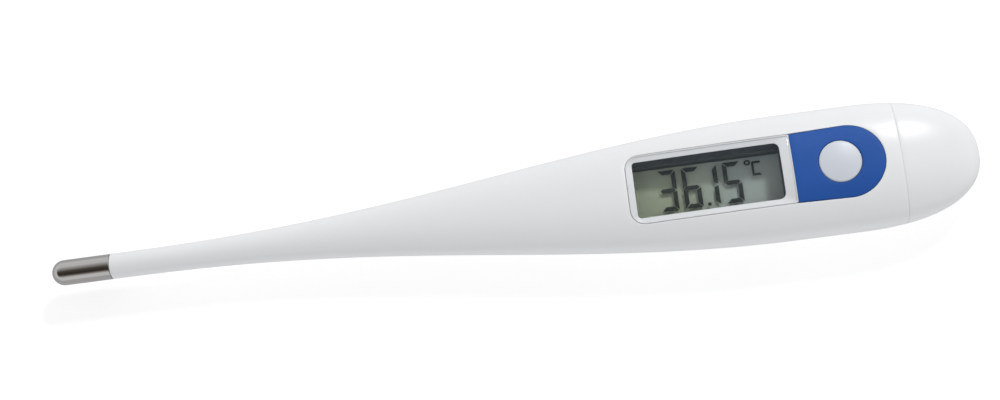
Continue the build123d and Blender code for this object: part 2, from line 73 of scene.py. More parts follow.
# ---- Sizes read from the frame ----

LENGTH = (CAD_HIGH.x - CAD_LOW.x) / MM
TIP_LOW, TIP_HIGH = span("probe_tip")
MID = (TIP_LOW.z + TIP_HIGH.z) / 2
TIP_RADIUS = (TIP_HIGH.z - TIP_LOW.z) / 2
TIP_END = TIP_HIGH.x + LENGTH / 2
HOUSING_LOW, HOUSING_HIGH = span("housing")
HALF_WIDTH = HOUSING_HIGH.y
SPIGOT_START = HOUSING_LOW.x + LENGTH / 2
SEAM = HOUSING_HIGH.x + LENGTH / 2
COVER_LOW = span("battery_cover")[0]
COLLAR_START = COVER_LOW.x + LENGTH / 2
SEAL_LOW, SEAL_HIGH = span("cover_seal")
SEAL_STATION = (SEAL_LOW.x + SEAL_HIGH.x) / 2 + LENGTH / 2
LENS_LOW, LENS_HIGH = span("window_lens")
TRIM_LOW, TRIM_HIGH = span("button_trim")
BUTTON_LOW, BUTTON_HIGH = span("button_cap")
BUTTON_STATION = (BUTTON_LOW.x + BUTTON_HIGH.x) / 2 + LENGTH / 2
FLANGE_RADIUS = (BUTTON_HIGH.x - BUTTON_LOW.x) / 2
SHROUD_LOW, SHROUD_HIGH = span("display_shroud")
DIGITS_LOW, DIGITS_HIGH = span("lcd_segments")
CAN_LOW, CAN_HIGH = span("battery_can")
ANODE_LOW, ANODE_HIGH = span("battery_anode")

# ---- The law of the outer shape, as in the CAD ----

SWELL_START = 6.2
SWELL_END = 104.4
SWELL_POWER = 1.36
TAIL_START = 112.5
TAIL_POWER = 2.4
BODY_POWER = 2.3
BELLY_FACTOR = 1.08
STEM_BORE_RADIUS = 0.85
WALL = 1.2
POCKET_GAP = 0.2
POCKET_DEPTH = 0.7
LENS_DEPTH = 0.58
SHROUD_WALL = 0.4

# ---- How finely the skin is divided ----

AROUND = 128
PANEL_LEFT = 78.6
PANEL_RIGHT = 118.4
PANEL_CELLS = 64
PANEL_FROM = AROUND // 8
PANEL_TO = 3 * AROUND // 8
SEAM_ROUND = 0.08
RIM_ROUND = 0.1
CAVITY_RINGS = (74, 68, 62, 56)


# ---- Outer shape ----


def swell(station):
    """0 in the slim stem, 1 in the full body."""
    t = (station - SWELL_START) / (SWELL_END - SWELL_START)
    t = min(max(t, 0.0), 1.0)
    return (0.5 - 0.5 * cos(pi * t)) ** SWELL_POWER


def half_sizes(station, inset=0.0):
    """Half-width, height above and depth below the mid-plane, at a distance inside the skin."""
    stem = max(TIP_RADIUS - inset, STEM_BORE_RADIUS)
    reach = LENGTH - TAIL_START - inset
    t = min(max((station - TAIL_START) / reach, 0.0), 1.0)
    close = (1.0 - t**TAIL_POWER) ** (1.0 / TAIL_POWER)
    grow = swell(station)
    width = stem + (HALF_WIDTH - inset - stem) * grow
    top = stem + (MID - inset - stem) * grow
    belly = stem + (MID * BELLY_FACTOR - inset - stem) * grow
    return width * close, top * close, belly * close


def section_power(station):
    return 2.0 + (BODY_POWER - 2.0) * swell(station)


def signed_power(value, power):
    return abs(value) ** power if value >= 0 else -(abs(value) ** power)


def skin_point(station, turn, inset=0.0):
    """Point on the skin, or on a surface inside it, at a share of a full turn around the body."""
    width, top, belly = half_sizes(station, inset)
    power = 2.0 / section_power(station)
    angle = 2 * pi * turn
    y = width * signed_power(cos(angle), power)
    z = signed_power(sin(angle), power) * (top if sin(angle) > 0 else belly)
    return Vector((station - LENGTH / 2, y, max(MID + z, inset)))


def skin_ring(station, inset=0.0):
    return [skin_point(station, j / AROUND, inset) for j in range(AROUND)]


def socket_ring(station, inset):
    """Ring of the straight socket or collar, which keep the section of the seam."""
    shift = Vector((station - SEAM, 0, 0))
    return [skin_point(SEAM, j / AROUND, inset) + shift for j in range(AROUND)]


def skin_top(station, y, depth=0.0, inset=0.0):
    """Point of the upper skin over a station and a Y, at a depth below it."""
    width, top, _ = half_sizes(station, inset)
    power = section_power(station)
    z = top * max(1.0 - abs(y / width) ** power, 0.0) ** (1.0 / power)
    return Vector((station - LENGTH / 2, y, MID + z - depth))


# ---- Mesh building ----


class Shell:
    """Collects the vertices and faces of one mesh, in millimetres."""

    def __init__(self):
        self.vertices = []
        self.faces = []

    def loop(self, points):
        first = len(self.vertices)
        self.vertices += points
        return list(range(first, len(self.vertices)))

    def bridge(self, a, b, skip=()):
        """Quads between two closed rows of the same length."""
        for i in range(len(a)):
            if i not in skip:
                k = (i + 1) % len(a)
                self.faces.append((a[i], a[k], b[k], b[i]))

    def chain(self, rows):
        for a, b in zip(rows, rows[1:]):
            self.bridge(a, b)

    def fan(self, row):
        """Closes a ring with triangles round its middle."""
        middle = sum((self.vertices[i] for i in row), Vector()) / len(row)
        centre = self.loop([middle])[0]
        for i, k in zip(row, row[1:] + row[:1]):
            self.faces.append((i, k, centre))

    def build(self, name, body, slot, replaces, sharp=40.0):
        """Makes the piece. Its material has the slot's name."""
        mesh = bpy.data.meshes.new(name)
        mesh.from_pydata([p * MM for p in self.vertices], [], self.faces)
        form = bmesh.new()
        form.from_mesh(mesh)
        bmesh.ops.remove_doubles(form, verts=form.verts, dist=0.002 * MM)
        bmesh.ops.dissolve_degenerate(form, edges=form.edges, dist=0.0005 * MM)
        bmesh.ops.recalc_face_normals(form, faces=form.faces)
        form.to_mesh(mesh)
        form.free()
        mesh.shade_smooth()
        mesh.set_sharp_from_angle(angle=radians(sharp))
        piece = bpy.data.objects.new(name, mesh)
        bpy.context.scene.collection.objects.link(piece)
        piece.data.materials.append(MATERIALS[slot])
        weighted = piece.modifiers.new("even_shading", "WEIGHTED_NORMAL")
        weighted.keep_sharp = True
        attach(piece, body)
        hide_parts(*replaces)


class Outline:
    """Rectangle in the XY plane whose left and right corners have their own radii.

    With a flare it is narrower by that much up to flare_start, and widens evenly from there.
    """

    def __init__(self, left, right, half, left_corner, right_corner, flare=0.0, flare_start=0.0):
        self.left, self.right, self.half = left, right, half
        self.left_corner, self.right_corner = left_corner, right_corner
        self.flare, self.flare_start = flare, flare_start

    def half_at(self, station):
        """Half-width at a station."""
        if not self.flare:
            return self.half
        widest = self.right - self.half
        t = (widest - station) / (widest - self.flare_start)
        return self.half - self.flare * min(max(t, 0.0), 1.0)

    def distance(self, station, y):
        """Signed distance from a point to the edge, negative inside."""
        middle = (self.left + self.right) / 2
        corner = self.left_corner if station < middle else self.right_corner
        across = abs(station - middle) - (self.right - self.left) / 2 + corner
        up = abs(y) - self.half_at(station) + corner
        return hypot(max(across, 0), max(up, 0)) + min(max(across, up), 0) - corner

    def spine(self, station):
        """Nearest point of the line that the outline is drawn round."""
        return min(max(station, self.left + self.half), self.right - self.half)

    def edge(self, start, direction, level=0.0):
        """Where a ray from a spine point crosses the line at a distance outside the edge."""
        near, far = 0.0, 40.0
        for _ in range(40):
            half_way = (near + far) / 2
            x = start + direction[0] * half_way
            if self.distance(x, direction[1] * half_way) < level:
                near = half_way
            else:
                far = half_way
        return start + direction[0] * near, direction[1] * near

    def rays(self, side_steps):
        """Rays all round, from the spine outwards, closer together at the corners."""
        quarter = (0, 9, 18, 27, 33, 38, 41, 42.8, 43.9, 44.5, 45)
        first_half = list(quarter) + [90 - a for a in reversed(quarter[:-1])]
        ends = first_half + [90 + a for a in first_half[1:]]
        left, right = self.left + self.half, self.right - self.half
        rays = [(right, (cos(radians(a - 90)), sin(radians(a - 90)))) for a in ends]
        run = [right + (left - right) * i / side_steps for i in range(1, side_steps)]
        rays += [(x, (0.0, 1.0)) for x in run]
        rays += [(left, (cos(radians(a + 90)), sin(radians(a + 90)))) for a in ends]
        return rays + [(x, (0.0, -1.0)) for x in reversed(run)]


def arc_steps(count):
    return [90.0 * i / count for i in range(count + 1)]


# ---- Outlines on the upper skin ----

SOCKET_START = COLLAR_START - 0.1
LEDGE = 0.46
LENS_START = LENS_LOW.x + LENGTH / 2
LENS_END = LENS_HIGH.x + LENGTH / 2
LENS_HALF = LENS_HIGH.y
TRIM_START = TRIM_LOW.x + LENGTH / 2
TRIM_END = TRIM_HIGH.x + LENGTH / 2
POCKET_HALF = LENS_HALF + POCKET_GAP
FLOOR_HALF = POCKET_HALF - LEDGE
SHROUD_START = SHROUD_LOW.x + LENGTH / 2
SHROUD_END = SHROUD_HIGH.x + LENGTH / 2
WINDOW_HALF = SHROUD_HIGH.y - SHROUD_WALL
FLOOR_SPLIT = 105.8
LIP = 0.11
GLUE_GAP = 0.03
FIT_GAP = 0.05
BUTTON_HOLE_RADIUS = 2.93

LENS = Outline(LENS_START, LENS_END - 0.05, LENS_HALF, 1.8, 0.12)
BORDER = Outline(LENS_START - LIP - 0.02, LENS_END + 0.03, LENS_HALF + LIP + 0.02, 1.93, 0.15)
TRIM = Outline(TRIM_START, TRIM_END, TRIM_HIGH.y, 0.12, TRIM_HIGH.y, 0.25, TRIM_START)
POCKET = Outline(
    LENS_START - POCKET_GAP,
    TRIM_END + FIT_GAP,
    TRIM_HIGH.y + FIT_GAP,
    2.0,
    TRIM_HIGH.y + FIT_GAP,
    TRIM_HIGH.y + FIT_GAP - POCKET_HALF,
    TRIM_START,
)
CAVITY = Outline(POCKET.left + LEDGE, SOCKET_START - 0.5, FLOOR_HALF, 1.5, 4.0)
WINDOW = Outline(SHROUD_START + SHROUD_WALL, SHROUD_END - SHROUD_WALL, WINDOW_HALF, 0.5, 0.85)
SHROUD_HOLE = Outline(
    SHROUD_START - GLUE_GAP, SHROUD_END + GLUE_GAP, SHROUD_HIGH.y + GLUE_GAP, 0.8, 0.8
)
BUTTON_HOLE = Outline(
    BUTTON_STATION - BUTTON_HOLE_RADIUS,
    BUTTON_STATION + BUTTON_HOLE_RADIUS,
    BUTTON_HOLE_RADIUS,
    BUTTON_HOLE_RADIUS,
    BUTTON_HOLE_RADIUS,
)
FLOOR_LEFT = Outline(POCKET.left + LEDGE, FLOOR_SPLIT, FLOOR_HALF, 1.5, 0.1)
FLOOR_RIGHT = Outline(
    FLOOR_SPLIT,
    POCKET.right - LEDGE,
    POCKET.half - LEDGE,
    0.1,
    POCKET.half - LEDGE,
    POCKET.flare,
    FLOOR_SPLIT,
)


# ---- Materials ----


def new_material(name):
    material = bpy.data.materials.new(name)
    material.use_nodes = True
    nodes = material.node_tree.nodes
    nodes.clear()
    output = nodes.new("ShaderNodeOutputMaterial")
    return material, nodes, material.node_tree.links, output


def noise(nodes, links, scale, detail=3.0, stretch=(1, 1, 1)):
    """Noise fixed to the piece. The scale is in features per metre."""
    place = nodes.new("ShaderNodeTexCoord")
    mapping = nodes.new("ShaderNodeMapping")
    mapping.inputs["Scale"].default_value = stretch
    texture = nodes.new("ShaderNodeTexNoise")
    texture.inputs["Scale"].default_value = scale
    texture.inputs["Detail"].default_value = detail
    links.new(place.outputs["Object"], mapping.inputs["Vector"])
    links.new(mapping.outputs["Vector"], texture.inputs["Vector"])
    return texture.outputs["Fac"]


def between(nodes, links, value, low, high):
    """Maps the middle of a noise to a range."""
    node = nodes.new("ShaderNodeMapRange")
    node.inputs["From Min"].default_value = 0.3
    node.inputs["From Max"].default_value = 0.7
    node.inputs["To Min"].default_value = low
    node.inputs["To Max"].default_value = high
    links.new(value, node.inputs["Value"])
    return node.outputs["Result"]


def shades(nodes, links, value, dark, light):
    """Colour ramp between two shades."""
    ramp = nodes.new("ShaderNodeValToRGB")
    ramp.color_ramp.elements[0].position = 0.3
    ramp.color_ramp.elements[1].position = 0.7
    ramp.color_ramp.elements[0].color = (*dark, 1)
    ramp.color_ramp.elements[1].color = (*light, 1)
    links.new(value, ramp.inputs["Fac"])
    return ramp.outputs["Color"]


def bump(nodes, links, height, distance):
    node = nodes.new("ShaderNodeBump")
    node.inputs["Distance"].default_value = distance
    links.new(height, node.inputs["Height"])
    return node.outputs["Normal"]


def surface(
    name,
    dark,
    light,
    rough,
    grain=1500.0,
    grain_depth=0.000002,
    blotch=80.0,
    metallic=0.0,
    stretch=(1, 1, 1),
    specular=0.5,
):
    """Solid material: two close shades in soft blotches, uneven gloss and a fine grain."""
    material, nodes, links, output = new_material(name)
    shader = nodes.new("ShaderNodeBsdfPrincipled")
    tone = noise(nodes, links, blotch, 4.0)
    fine = noise(nodes, links, grain, 2.0, stretch)
    links.new(shades(nodes, links, tone, dark, light), shader.inputs["Base Color"])
    links.new(between(nodes, links, fine, *rough), shader.inputs["Roughness"])
    links.new(bump(nodes, links, fine, grain_depth), shader.inputs["Normal"])
    shader.inputs["Metallic"].default_value = metallic
    shader.inputs["Specular IOR Level"].default_value = specular
    links.new(shader.outputs["BSDF"], output.inputs["Surface"])
    return material


def clear_sheet(name, tint, gloss, rough, sheen=(1, 1, 1)):
    """Clear sheet: light goes straight through with a tint, and the face it enters by mirrors."""
    material, nodes, links, output = new_material(name)
    through = nodes.new("ShaderNodeBsdfTransparent")
    mirror = nodes.new("ShaderNodeBsdfGlossy")
    mix = nodes.new("ShaderNodeMixShader")
    fresnel = nodes.new("ShaderNodeFresnel")
    smear = noise(nodes, links, 220.0, 3.0)
    fresnel.inputs["IOR"].default_value = gloss
    side = nodes.new("ShaderNodeNewGeometry")
    front = nodes.new("ShaderNodeMath")
    front.operation = "SUBTRACT"
    front.inputs[0].default_value = 1.0
    share = nodes.new("ShaderNodeMath")
    share.operation = "MULTIPLY"
    links.new(side.outputs["Backfacing"], front.inputs[1])
    links.new(front.outputs["Value"], share.inputs[0])
    links.new(fresnel.outputs["Fac"], share.inputs[1])
    through.inputs["Color"].default_value = (*tint, 1)
    mirror.inputs["Color"].default_value = (*sheen, 1)
    links.new(between(nodes, links, smear, *rough), mirror.inputs["Roughness"])
    links.new(share.outputs["Value"], mix.inputs["Fac"])
    links.new(through.outputs["BSDF"], mix.inputs[1])
    links.new(mirror.outputs["BSDF"], mix.inputs[2])
    links.new(mix.outputs["Shader"], output.inputs["Surface"])
    return material


def display_backing_painted_reflection(name, left, right):
    """Diffusing film behind the display. Its tint changes along the display, and the bluer, lighter
    right end is a painted reflection, not the film's own colour.
    """
    material, nodes, links, output = new_material(name)
    shader = nodes.new("ShaderNodeBsdfPrincipled")
    place = nodes.new("ShaderNodeTexCoord")
    parts = nodes.new("ShaderNodeSeparateXYZ")
    ramp = nodes.new("ShaderNodeMapRange")
    ramp.inputs["From Min"].default_value = SHROUD_LOW.x * MM
    ramp.inputs["From Max"].default_value = SHROUD_HIGH.x * MM
    links.new(place.outputs["Object"], parts.inputs["Vector"])
    links.new(parts.outputs["X"], ramp.inputs["Value"])
    # Painted reflection: the tint shifts from the left shade to the bluer right shade along X.
    links.new(shades(nodes, links, ramp.outputs["Result"], left, right), shader.inputs["Base Color"])
    fine = noise(nodes, links, 3000.0)
    links.new(between(nodes, links, fine, 0.5, 0.62), shader.inputs["Roughness"])
    links.new(bump(nodes, links, fine, 0.000001), shader.inputs["Normal"])
    links.new(shader.outputs["BSDF"], output.inputs["Surface"])
    return material


def grey(value, tint=(1, 1, 1)):
    return tuple(value * t for t in tint)


COOL = (0.993, 1.0, 1.015)
BLUE_SHEEN = (0.72, 0.86, 1.0)

MATERIALS = {
    "white_plastic": surface(
        "white_plastic", grey(0.82, COOL), grey(0.838, COOL), (0.305, 0.33), 260.0, 0.000001, 30.0
    ),
    "button_plastic": surface(
        "button_plastic", (0.62, 0.65, 0.71), (0.645, 0.675, 0.735), (0.36, 0.42), 600.0, 0.0000006
    ),
    "blue_plastic": surface(
        "blue_plastic",
        (0.010, 0.079, 0.345),
        (0.015, 0.092, 0.380),
        (0.5, 0.6),
        2600.0,
        0.000001,
        specular=0.22,
    ),
    "seal_rubber": surface("seal_rubber", grey(0.02), grey(0.035), (0.55, 0.7), grain=3000.0),
    "tip_steel": surface(
        "tip_steel",
        (0.67, 0.65, 0.635),
        (0.73, 0.71, 0.695),
        (0.08, 0.17),
        grain=900.0,
        grain_depth=0.0000008,
        metallic=1.0,
        stretch=(12, 0.6, 0.6),
    ),
    "epoxy": surface("epoxy", (0.40, 0.36, 0.22), (0.52, 0.47, 0.30), (0.3, 0.5)),
    "sensor_glass": surface("sensor_glass", (0.10, 0.07, 0.05), (0.2, 0.14, 0.1), (0.1, 0.2)),
    "lead_insulation": surface(
        "lead_insulation", (0.45, 0.05, 0.03), (0.58, 0.08, 0.05), (0.3, 0.45)
    ),
    "clear_lens": clear_sheet("clear_lens", (0.985, 0.99, 0.99), 1.52, (0.02, 0.05), BLUE_SHEEN),
    "white_print": surface(
        "white_print", grey(0.76, COOL), grey(0.79, COOL), (0.4, 0.55), grain=1800.0
    ),
    "dark_plastic": surface(
        "dark_plastic", (0.042, 0.045, 0.055), (0.050, 0.054, 0.066), (0.5, 0.65), grain=2500.0
    ),
    "spring_steel": surface(
        "spring_steel", grey(0.5), grey(0.6), (0.2, 0.32), metallic=1.0, stretch=(1, 9, 1)
    ),
    "polarizer_film": clear_sheet("polarizer_film", (0.92, 0.94, 0.90), 1.18, (0.12, 0.2)),
    "cell_glass": clear_sheet("cell_glass", (0.985, 0.992, 0.985), 1.12, (0.02, 0.05)),
    "segment_ink": surface(
        "segment_ink", (0.006, 0.010, 0.014), (0.010, 0.016, 0.022), (0.5, 0.6), grain=4000.0
    ),
    # The bluer, lighter right shade of the reflector film is a painted reflection.
    "reflector_film": display_backing_painted_reflection("reflector_film", (0.545, 0.535, 0.475), (0.59, 0.59, 0.68)),
    "zebra_rubber": surface(
        "zebra_rubber", (0.15, 0.155, 0.17), (0.165, 0.17, 0.185), (0.5, 0.65), blotch=300.0
    ),
    "board_laminate": surface(
        "board_laminate", (0.012, 0.085, 0.03), (0.03, 0.16, 0.06), (0.25, 0.4), blotch=420.0
    ),
    "blob_resin": surface("blob_resin", grey(0.010), grey(0.02), (0.2, 0.35), blotch=300.0),
    "chip_ceramic": surface("chip_ceramic", grey(0.015), grey(0.04), (0.3, 0.45), blotch=900.0),
    "capacitor_ceramic": surface(
        "capacitor_ceramic", (0.32, 0.2, 0.1), (0.46, 0.3, 0.17), (0.3, 0.4), blotch=800.0
    ),
    "tray_plastic": surface(
        "tray_plastic", (0.66, 0.66, 0.63), (0.72, 0.72, 0.69), (0.42, 0.55), grain=1800.0
    ),
    "plated_bronze": surface(
        "plated_bronze", (0.66, 0.5, 0.22), (0.78, 0.62, 0.3), (0.16, 0.3), metallic=1.0
    ),
    "cell_steel": surface(
        "cell_steel",
        (0.58, 0.58, 0.57),
        (0.68, 0.68, 0.67),
        (0.14, 0.26),
        grain=1400.0,
        metallic=1.0,
        stretch=(1, 8, 1),
    ),
    "gasket_nylon": surface("gasket_nylon", (0.7, 0.7, 0.64), (0.78, 0.78, 0.73), (0.4, 0.5)),
    "buzzer_brass": surface(
        "buzzer_brass", (0.66, 0.48, 0.17), (0.76, 0.58, 0.24), (0.2, 0.34), metallic=1.0
    ),
    "piezo_ceramic": surface("piezo_ceramic", (0.7, 0.67, 0.58), (0.8, 0.78, 0.7), (0.3, 0.45)),
}


# ---- Housing, cover and seal ----


def panel_loop(grid):
    """Indices round the rectangle that the panel leaves in a grid of rings, in order."""
    last = len(grid) - 1
    left = [grid[0][j] for j in range(PANEL_FROM, PANEL_TO)]
    near = [grid[i][PANEL_TO] for i in range(last)]
    right = [grid[last][j] for j in range(PANEL_TO, PANEL_FROM, -1)]
    far = [grid[i][PANEL_FROM] for i in range(last, 0, -1)]
    return left + near + right + far


def patch(shell, loop, inset, last_row, rows=5):
    """Fills in between the loop of a hole in a skin and a row inside it, on that skin."""
    outside = [shell.vertices[i].copy() for i in loop]
    inside = [shell.vertices[i].copy() for i in last_row]
    previous = loop
    for step in range(1, rows):
        points = []
        for a, b in zip(outside, inside):
            mixed = a.lerp(b, step / rows)
            points.append(skin_top(mixed.x + LENGTH / 2, mixed.y, 0.0, inset))
        row = shell.loop(points)
        shell.bridge(previous, row)
        previous = row
    shell.bridge(previous, last_row)


def skin_rows(shell, rays, outline, steps):
    """One row for each (level, depth): the outline at that level, laid on the skin."""
    rows = []
    for level, depth in steps:
        points = [outline.edge(x, d, level) for x, d in rays]
        rows.append(shell.loop([skin_top(x, y, depth) for x, y in points]))
    return rows


def add_frame(shell, rays, outer, outer_steps, hole, hole_steps, shares=(0.33, 0.66)):
    """Plate between an outline and a hole in it, laid on the skin, with the edges as listed."""
    outer_depth, hole_depth = outer_steps[-1][1], hole_steps[0][1]
    edge = skin_rows(shell, rays, outer, outer_steps)
    rim = skin_rows(shell, rays, hole, hole_steps)
    middle = []
    for share in shares:
        points = []
        for a, b in zip(edge[-1], rim[0]):
            mixed = shell.vertices[a].lerp(shell.vertices[b], share)
            depth = outer_depth + (hole_depth - outer_depth) * share
            points.append(skin_top(mixed.x + LENGTH / 2, mixed.y, depth))
        middle.append(shell.loop(points))
    shell.chain(edge + middle + rim + edge[:1])


def button_rays(outline):
    """Rays from the middle of the button, with some close to the square corners of an outline."""
    corner = Vector((outline.left - BUTTON_STATION, outline.half_at(outline.left)))
    angle = corner.angle_signed(Vector((1, 0)))
    angles = [2 * pi * i / 144 for i in range(144)]
    for target in (angle, -angle):
        angles += [(target + nudge) % (2 * pi) for nudge in (-0.02, -0.008, 0.0, 0.008, 0.02)]
    return [(BUTTON_STATION, (cos(a), sin(a))) for a in sorted(set(angles))]


def soft_edge(radius):
    """(distance in from the edge, depth) of a rounded edge, from its side to its top."""
    return [(radius * (1 - cos(radians(a))), radius * (1 - sin(radians(a)))) for a in (0, 30, 60, 90)]


def make_housing():
    shell = Shell()
    shoulder = TIP_END + 0.08
    neck = TIP_END + 0.03
    spigot_inset = 0.23
    coarse = [shoulder + (PANEL_LEFT - shoulder) * i / 48 for i in range(48)]
    fine = [PANEL_LEFT + (PANEL_RIGHT - PANEL_LEFT) * i / PANEL_CELLS for i in range(PANEL_CELLS + 1)]
    cavity = [
        PANEL_LEFT + (SOCKET_START - PANEL_LEFT) * i / PANEL_CELLS for i in range(PANEL_CELLS + 1)
    ]

    start = [(SPIGOT_START, spigot_inset), (neck, spigot_inset), (neck, 0.05)]
    start = [shell.loop(skin_ring(s, inset)) for s, inset in start]
    shell.fan(start[0])
    outer_coarse = [shell.loop(skin_ring(s)) for s in coarse]
    outer_fine = [shell.loop(skin_ring(s)) for s in fine]
    shell.chain(start + outer_coarse + outer_fine[:1])

    mouth = [shell.loop(skin_ring(SEAM - back, down)) for back, down in reversed(soft_edge(SEAM_ROUND))]
    mouth.append(shell.loop(socket_ring(SEAM, WALL - 0.05)))
    for s in (SEAM - 0.05, SEAM - 1.4, COLLAR_START + 1.2, SOCKET_START):
        mouth.append(shell.loop(socket_ring(s, WALL)))
    inner_fine = [shell.loop(skin_ring(s, WALL)) for s in cavity]
    inner_coarse = [shell.loop(skin_ring(s, WALL)) for s in CAVITY_RINGS]
    shell.chain(outer_fine[-1:] + mouth + inner_fine[-1:])
    shell.chain([inner_fine[0]] + inner_coarse)
    shell.fan(inner_coarse[-1])

    panel = range(PANEL_FROM, PANEL_TO)
    for rings in (outer_fine, inner_fine):
        for a, b in zip(rings, rings[1:]):
            shell.bridge(a, b, skip=panel)

    outer_loop = panel_loop(outer_fine)
    rays = []
    for i in outer_loop:
        p = shell.vertices[i]
        start_x = POCKET.spine(p.x + LENGTH / 2)
        rays.append((start_x, Vector((p.x + LENGTH / 2 - start_x, p.y)).normalized()))
    edge = soft_edge(RIM_ROUND)[::-1]
    rows = skin_rows(shell, rays, POCKET, edge + [(0.0, POCKET_DEPTH), (-LEDGE, POCKET_DEPTH)])
    opening = [CAVITY.edge(x, d) for x, d in rays]
    rows.append(shell.loop([skin_top(x, y, 0.0, WALL) for x, y in opening]))
    shell.chain(rows)
    patch(shell, outer_loop, 0.0, rows[0])
    patch(shell, panel_loop(inner_fine), WALL, rows[-1], rows=3)

    top, low = POCKET_DEPTH, WALL - 0.05
    down, up = [(0.0, low), (0.0, top)], [(0.0, top), (0.0, low)]
    add_frame(shell, WINDOW.rays(26), FLOOR_LEFT, down, SHROUD_HOLE, up)
    add_frame(shell, button_rays(FLOOR_RIGHT), FLOOR_RIGHT, down, BUTTON_HOLE, up)
    shell.build("housing_shell", "body", "white_plastic", ["housing"])


def tail_stations(inset, start):
    """Stations closing up round the tail, from the pole inwards."""
    reach = LENGTH - TAIL_START - inset
    angles = [90 - 90 * (i / 44) ** 1.1 for i in range(45)]
    found = [TAIL_START + reach * sin(radians(a)) for a in angles]
    return [s for s in found if s > start + 0.1]


def make_cover():
    shell = Shell()
    outer = [(s, 0.0) for s in tail_stations(0.0, SEAM + SEAM_ROUND)]
    outer += [(SEAM + back, down) for back, down in reversed(soft_edge(SEAM_ROUND))]
    collar = WALL + 0.08
    inner = WALL + 0.8
    step = SEAM + 1.5
    groove_half = 0.35
    groove = collar + 0.37
    soft = 0.05
    straight = [
        (SEAM, collar),
        (SEAL_STATION + groove_half + soft, collar),
        (SEAL_STATION + groove_half, collar + soft),
        (SEAL_STATION + groove_half, groove),
        (SEAL_STATION - groove_half, groove),
        (SEAL_STATION - groove_half, collar + soft),
        (SEAL_STATION - groove_half - soft, collar),
        (COLLAR_START + 0.2, collar),
        (COLLAR_START + 0.06, collar + 0.06),
        (COLLAR_START, collar + 0.2),
        (COLLAR_START, inner - soft),
        (COLLAR_START + soft, inner),
        (step - 0.1, inner),
        (step, inner - 0.1),
    ]
    rows = [shell.loop(skin_ring(s, inset)) for s, inset in outer]
    rows += [shell.loop(socket_ring(s, inset)) for s, inset in straight]
    rows.append(shell.loop(skin_ring(step, WALL + soft)))
    rows += [shell.loop(skin_ring(s, WALL)) for s in reversed(tail_stations(WALL, step))]
    shell.chain(rows)
    shell.build("cover_shell", "cover", "white_plastic", ["battery_cover"])


def make_seal():
    """Rubber ring with a rounded section, in the groove of the collar."""
    shell = Shell()
    steps = 16
    half_length, half_height = 0.3, 0.18
    middle = WALL + 0.235
    rows = []
    for i in range(steps):
        angle = 2 * pi * i / steps
        station = SEAL_STATION + half_length * cos(angle)
        rows.append(shell.loop(socket_ring(station, middle + half_height * sin(angle))))
    shell.chain(rows + rows[:1])
    shell.build("seal_ring", "cover", "seal_rubber", ["cover_seal"])


# ---- Turned pieces ----


def revolve(profile, centre, axis, steps=96):
    """Turned shape. Each profile point is (distance along the axis, radius)."""
    shell = Shell()
    rows = []
    for along, radius in profile:
        ring = []
        for i in range(steps):
            angle = 2 * pi * i / steps
            if axis == "X":
                offset = Vector((along, radius * cos(angle), radius * sin(angle)))
            else:
                offset = Vector((radius * cos(angle), radius * sin(angle), along))
            ring.append(Vector(centre) + offset)
        rows.append(shell.loop(ring))
    shell.chain(rows)
    return shell


def make_tip():
    wall = 0.2
    profile = []
    for angle in range(0, 91, 5):
        t = radians(angle)
        profile.append((TIP_RADIUS * (1 - cos(t)), TIP_RADIUS * sin(t)))
    straight = [2.6, 3.6, 4.6, 5.6, 6.6, 7.6, 8.4]
    profile += [(s, TIP_RADIUS) for s in straight]
    profile += [(TIP_END - 0.10, TIP_RADIUS), (TIP_END - 0.07, TIP_RADIUS - 0.01)]
    profile += [(TIP_END - 0.06, TIP_RADIUS - 0.04), (TIP_END - 0.06, TIP_RADIUS - wall)]
    inner = TIP_RADIUS - wall
    for angle in range(90, -1, -15):
        t = radians(angle)
        profile.append((wall + inner * (1 - cos(t)), inner * sin(t)))
    shell = revolve(profile, (-LENGTH / 2, 0, MID), "X")
    shell.build("metal_tip", "body", "tip_steel", ["probe_tip"])


def make_button():
    """Domed cap with a soft edge, its flange and its plunger."""
    radius = 2.88
    dome = 0.35
    soft = 0.28
    plunger = 1.1
    top = BUTTON_HIGH.z
    edge = top - dome
    ball = (radius**2 + dome**2) / (2 * dome)
    profile = []
    for i in range(13):
        r = (radius - soft) * i / 12
        profile.append((top - ball + sqrt(ball**2 - r**2), r))
    shoulder = profile[-1][0]
    for angle in arc_steps(6)[1:]:
        t = radians(angle)
        profile.append((shoulder - soft * (1 - cos(t)), radius - soft + soft * sin(t)))
    flange_top = MID + 3.45
    flange_low = MID + 3.0
    profile += [
        (edge - 0.6, radius),
        (flange_top, radius),
        (flange_top, FLANGE_RADIUS),
        (flange_low, FLANGE_RADIUS),
        (flange_low, plunger),
        (BUTTON_LOW.z + 0.1, plunger),
        (BUTTON_LOW.z, plunger - 0.1),
        (BUTTON_LOW.z, 0.0),
    ]
    centre = (BUTTON_STATION - LENGTH / 2, 0, 0)
    shell = revolve(profile, centre, "Z", 112)
    shell.build("push_button", "button", "button_plastic", ["button_cap"])


